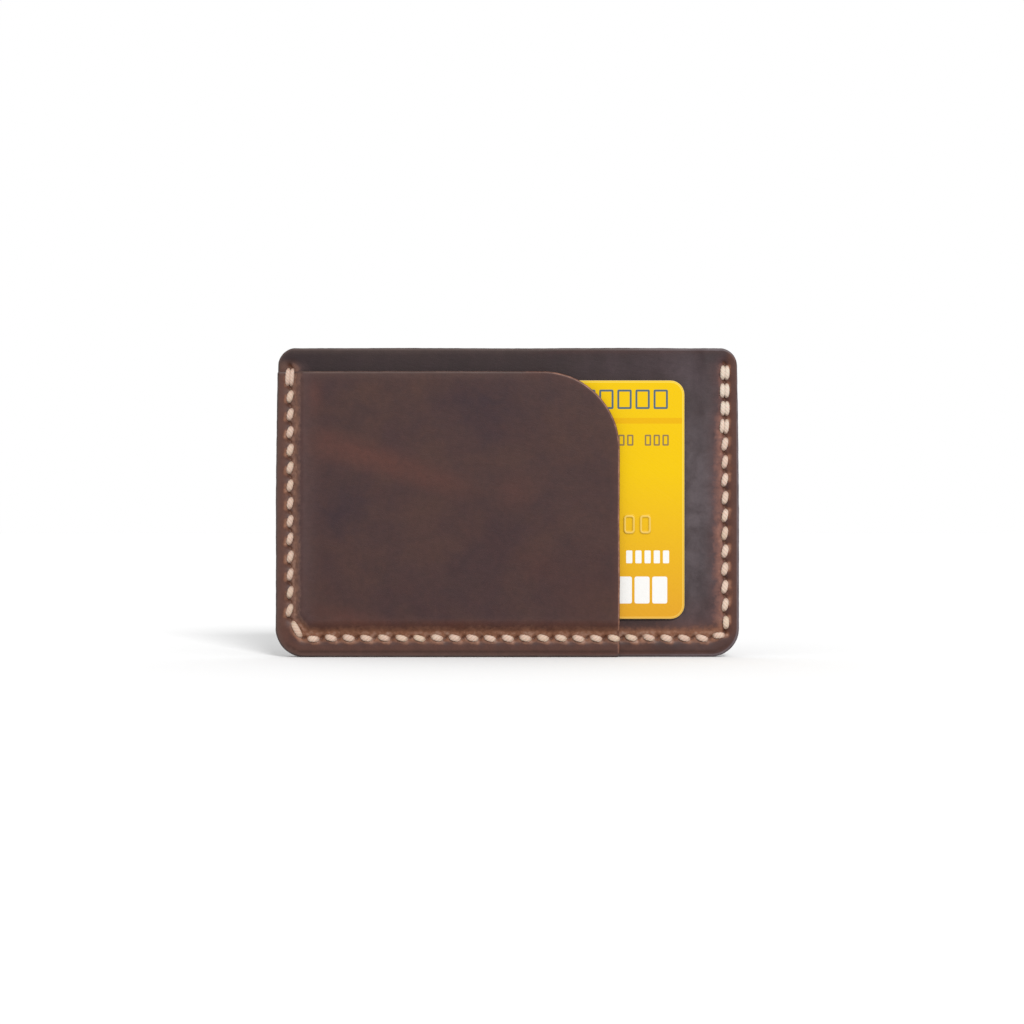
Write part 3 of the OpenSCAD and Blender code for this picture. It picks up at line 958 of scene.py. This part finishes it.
def printed_shapes():
    """(shape, ink) pairs: plain squares, blocks and stripes where a card has its print."""
    shapes = []
    for i in range(8):
        outer = card_rect(49.9 + 4.1 * i, 47.5, 3.25, 4.4, 0.3)
        shapes += [(outer, "blue"), (outer.grown(-0.45), "yellow")]
    for i in range(9):
        if i != 5:
            outer = card_rect(64.6 + 2.0 * i, 39.2, 1.45, 2.5, 0.2)
            shapes += [(outer, "grey"), (outer.grown(-0.36), "yellow")]
    shapes += [(card_rect(0.55, 44.2, 84.5, 1.3, 0.05), "band")]
    shapes += [(card_rect(72.4 + 2.08 * i, 12.6, 1.4, 2.9, 0.2), "white") for i in range(5)]
    shapes += [(card_rect(66.3 + 4.0 * i, 3.5, 3.4, 6.1, 0.4), "white") for i in range(4)]
    shapes += [(card_rect(8.0 + 2.3 * i, 6.0, 1.7, 1.9, 0.15), "white") for i in range(14) if i not in (5, 9)]
    return shapes


def card_materials():
    """The card's materials: its front, edge and back, the inks on its front, then a painted highlight along
    its rounded edge and one on the tops of its raised marks.
    """
    yellow = (249, 205, 6)
    return {
        "yellow": card_print("card_yellow", (234, 170, 44), yellow),
        "edge": moulded("card_core", (240, 212, 126), (232, 198, 108), 0.4),
        "yellow_back": card_print("card_yellow_back", (236, 190, 60), yellow),
        "blue": card_print("card_ink_blue", (84, 110, 126)),
        "grey": card_print("card_ink_grey", (150, 128, 84)),
        "band": card_print("card_band", (243, 187, 0)),
        "white": card_print("card_ink_white", (255, 255, 252)),
        # A painted highlight along the card's rounded edge
        "rim": card_print("card_rim_highlight", (247, 200, 92), (252, 222, 88)),
        # A painted highlight on the tops of the raised marks
        "emboss": card_print("card_emboss_highlight", (243, 196, 104), (250, 214, 100)),
    }


def card():
    marks = embossed_marks()
    shapes = printed_shapes()
    mark_loops = [mark.grown(by).ring(0.25 if by > -0.3 else 0.2)[0] for mark in marks for by in MARK_RINGS]
    shape_loops = [shape.ring(0.5)[0] for shape, _ in shapes] + [CARD_SHAPE.grown(-RIM_HIGHLIGHT).ring(1.0)[0]]
    height = emboss_height(marks)
    materials = card_materials()
    number = {ink: i for i, ink in enumerate(materials)}

    def region(x, z):
        index = np.zeros(x.shape, int)
        # The painted highlight along the card's edge
        index[CARD_SHAPE.inset(x, z) < RIM_HIGHLIGHT] = number["rim"]
        for shape, ink in shapes:
            index[shape.inset(x, z) > 0] = number[ink]
        # The painted highlight on the raised marks' tops
        index[height(x, z) > 0.6] = number["emboss"]
        return index

    obj = slab("card_body_laminate", CARD_SHAPE,
               (lambda x, z: CARD_FRONT - EMBOSS_H * height(x, z),
                lambda x, z: CARD_BACK - BACK_DENT * EMBOSS_H * height(x, z)),
               CARD_T, CARD_EDGE, list(materials.values()),
               ring_step=0.8, loops=mark_loops + shape_loops, back_loops=mark_loops, region=region)
    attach(obj, "card")
    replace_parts(obj, "card_body")


def plate(name, shape, front, back, material, bevel):
    """A thin flat plate with rounded edges."""
    return slab(name, shape, (level(front), level(back)),
                back - front, (3 * bevel, bevel, bevel), [material] * 3, ring_step=0.3)


def join(name, pieces):
    """Makes one object of several."""
    bpy.ops.object.select_all(action="DESELECT")
    for piece in pieces:
        piece.select_set(True)
    bpy.context.view_layer.objects.active = pieces[0]
    bpy.ops.object.join()
    pieces[0].name = name
    return pieces[0]


def chip():
    """The contact plate: eight pads round a centre pad, with the resin's gaps between them."""
    gold = chip_gold()
    low, high = CHIP_LOW[[0, 2]], CHIP_HIGH[[0, 2]]
    base = plate("chip_base", RoundedRect(low, high, CHIP_R), CHIP_LOW[1] - CHIP_BASE_PROUD, CHIP_HIGH[1],
                 moulded("chip_gap", (96, 78, 44), (70, 58, 38), 0.5), 0.03)

    def pad(x0, z0, x1, z1, radii):
        gap = CHIP_GAP / 2
        return plate("pad", RoundedRect((x0 + gap, z0 + gap), (x1 - gap, z1 - gap), radii),
                     CHIP_LOW[1] - PAD_PROUD, CHIP_LOW[1] + PAD_SUNK, gold, 0.02)

    row_high = (high[1] - low[1]) / 4
    pads = []
    for row in range(4):
        for column, x0 in enumerate((low[0], high[0] - PAD_WIDE)):
            z0 = low[1] + row * row_high
            radii = [PAD_R] * 4
            outer_corner = {(0, 0): 0, (0, 1): 1, (3, 1): 2, (3, 0): 3}.get((row, column))
            if outer_corner is not None:
                radii[outer_corner] = PAD_CORNER_R
            pads.append(pad(x0, z0, x0 + PAD_WIDE, z0 + row_high, radii))
    pads.append(pad(low[0] + PAD_WIDE, low[1], high[0] - PAD_WIDE, high[1], CENTRE_PAD_R))
    obj = join("card_chip_contact_pads", [base] + pads)
    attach(obj, "card")
    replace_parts(obj, "card_chip_contacts")


def card_films():
    """The stripe and the signature panel on the card's back."""
    inset = np.array([0.15, 0.0])
    stripe = plate("card_magnetic_stripe_film",
                   RoundedRect(STRIPE_LOW[[0, 2]] + inset, STRIPE_HIGH[[0, 2]] - inset, 0.05),
                   STRIPE_LOW[1] - FILM_PROUD, STRIPE_HIGH[1],
                   moulded("stripe_film", (22, 20, 24), (34, 31, 36), 0.34, 0.8), 0.012)
    signature = plate("card_signature_panel_film",
                      RoundedRect(SIGNATURE_LOW[[0, 2]], SIGNATURE_HIGH[[0, 2]], 0.5),
                      SIGNATURE_LOW[1] - FILM_PROUD, SIGNATURE_HIGH[1], signature_film(), 0.012)
    for obj, node in ((stripe, "card_magnetic_stripe"), (signature, "card_signature_panel")):
        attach(obj, "card")
        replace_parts(obj, node)


def chip_potting_material():
    potting = moulded("chip_potting", (24, 24, 26), (36, 36, 38), 0.5)
    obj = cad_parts["card_chip_potting"]
    obj.data.materials.clear()
    obj.data.materials.append(potting)


# ---- the studio

CAMERA_LENS = 85.0
SENSOR = 36.0
FRAME_WIDTH = 231.5  # how much of the wallet's plane the picture's width takes in
AIM = (0.97, 32.8)   # the point of the wallet's plane at the picture's centre, X and Z
FLOOR_HALF = 3000.0
FLOOR_Z = -0.05


def add_camera():
    data = bpy.data.cameras.new("camera")
    data.lens = CAMERA_LENS
    data.sensor_width = SENSOR
    data.clip_start, data.clip_end = 0.01, 50
    cam = link("camera", data)
    distance = FRAME_WIDTH * CAMERA_LENS / SENSOR
    cam.location = (AIM[0] * MM, (SEAM_FRONT - distance) * MM, AIM[1] * MM)
    cam.rotation_euler = (math.pi / 2, 0, 0)
    bpy.context.scene.camera = cam


def add_sun(azimuth, elevation, strength, spread):
    """A broad soft light from far off. Azimuth 0 is in front of the wallet, 90 at its right."""
    data = bpy.data.lights.new("key", "SUN")
    data.energy = strength
    data.angle = math.radians(spread)
    a, e = math.radians(azimuth), math.radians(elevation)
    away = Vector((math.sin(a) * math.cos(e), -math.cos(a) * math.cos(e), math.sin(e)))
    light = link("key", data)
    light.rotation_mode = "QUATERNION"
    light.rotation_quaternion = (-away).to_track_quat("-Z", "Y")


def add_studio():
    corners = [(x * FLOOR_HALF, y * FLOOR_HALF, FLOOR_Z) for x, y in ((-1, -1), (1, -1), (1, 1), (-1, 1))]
    make_object("floor", corners, [(0, 1, 2, 3)], [studio_white()])
    add_sun(azimuth=15, elevation=29, strength=3.05, spread=15)
    world = bpy.data.worlds.new("studio")
    world.use_nodes = True
    background = world.node_tree.nodes["Background"]
    background.inputs["Color"].default_value = (1, 1, 1, 1)
    background.inputs["Strength"].default_value = 1.0
    bpy.context.scene.world = world
    bpy.context.scene.view_settings.view_transform = "Standard"


add_camera()
add_studio()
front_pocket_leather()
centre_leather()
back_leather()
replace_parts(stitches("seam_thread_front", -1), "seam_thread")
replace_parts(stitches("seam_thread_back", 1), "seam_thread")
card()
chip()
card_films()
chip_potting_material()
